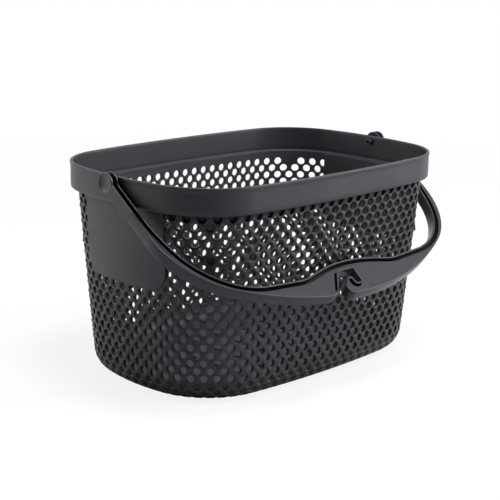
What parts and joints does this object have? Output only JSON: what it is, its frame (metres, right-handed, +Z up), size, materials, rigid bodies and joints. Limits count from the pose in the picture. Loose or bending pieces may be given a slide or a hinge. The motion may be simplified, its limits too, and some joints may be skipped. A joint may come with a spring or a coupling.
{
  "type": "harvest basket",
  "caption": "Deep rounded plastic basket with perforated walls, a plain rim band and a swinging handle whose bow has a hook slot for hanging it on a branch or rung.",
  "frame": {"origin": "middle of the flat underside of the floor, which the basket stands on", "axes": "+X along the long side and the pivot axis, +Z up through the open top, -Y towards the side where the handle hangs"},
  "size_m": [0.402, 0.294, 0.2242],
  "materials": {
    "tub": "satin charcoal moulded plastic",
    "handle": "satin charcoal moulded plastic"
  },
  "bodies": {
    "tub": {"rim_band": "tub", "front_wall": "tub", "back_wall": "tub", "left_end_wall": "tub", "right_end_wall": "tub", "front_left_corner": "tub", "front_right_corner": "tub", "back_left_corner": "tub", "back_right_corner": "tub", "base_pan": "tub", "left_end_panel": "tub", "right_end_panel": "tub", "nesting_lugs": "tub"},
    "handle": {"handle_bow": "handle", "handle_left_arm": "handle", "handle_right_arm": "handle", "left_pivot_stud": "handle", "right_pivot_stud": "handle"}
  },
  "joints": [
    {"name": "handle_swing", "type": "hinge", "parent": "tub", "child": "handle", "pos_m": [0, 0, 0.2134], "axis": [-1, 0, 0], "range_deg": [0, 250.6]}
  ]
}
